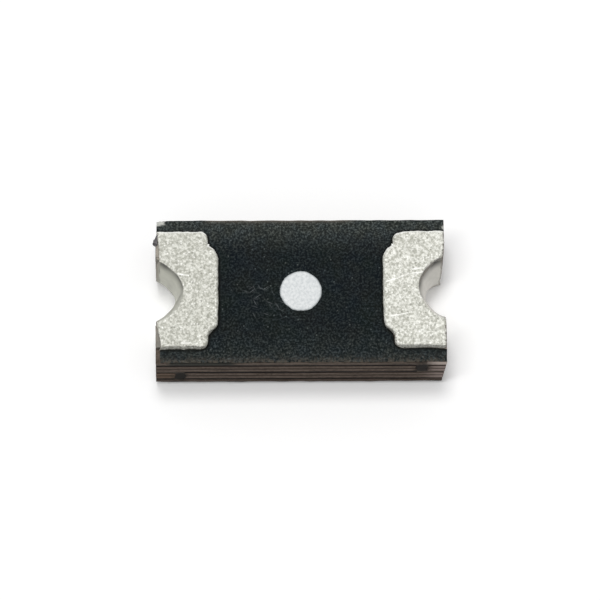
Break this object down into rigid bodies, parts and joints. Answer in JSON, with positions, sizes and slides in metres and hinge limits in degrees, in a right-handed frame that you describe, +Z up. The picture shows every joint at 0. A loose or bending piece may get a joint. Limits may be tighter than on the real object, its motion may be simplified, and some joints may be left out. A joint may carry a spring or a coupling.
{
  "type": "resettable fuse",
  "caption": "Laminated surface-mount resettable fuse: conductive polymer sheets between foils, dark solder mask, and tinned lands joined by plated half-round end notches.",
  "frame": {"origin": "middle of the plane of the lower solder lands", "axes": "+X along the length towards the end whose upper foil is cut off, +Y across, +Z up from the lands"},
  "size_m": [0.0032, 0.0016, 0.0008],
  "materials": {
    "solder_mask": "matte",
    "glass_epoxy": "matte",
    "foil": "matte",
    "conductive_polymer": "matte",
    "slot_resin": "matte",
    "copper": "satin",
    "tin": "matte",
    "ink": "matte"
  },
  "bodies": {
    "root": {"bottom_cover": "glass_epoxy", "top_cover": "glass_epoxy", "lower_foil": "foil", "lower_foil_end_strip": "foil", "centre_foil": "foil", "upper_foil": "foil", "upper_foil_end_strip": "foil", "lower_ptc_sheet": "conductive_polymer", "lower_ptc_end_strip": "conductive_polymer", "upper_ptc_sheet": "conductive_polymer", "upper_ptc_end_strip": "conductive_polymer", "left_slot_resin": "slot_resin", "right_slot_resin": "slot_resin", "left_relief_resin": "slot_resin", "right_relief_resin": "slot_resin", "bottom_solder_mask": "solder_mask", "top_solder_mask": "solder_mask", "left_bottom_pad": "copper", "right_bottom_pad": "copper", "left_top_pad": "copper", "right_top_pad": "copper", "left_wall_plating": "copper", "right_wall_plating": "copper", "left_tin_finish": "tin", "right_tin_finish": "tin", "ink_dot": "ink"}
  },
  "joints": []
}
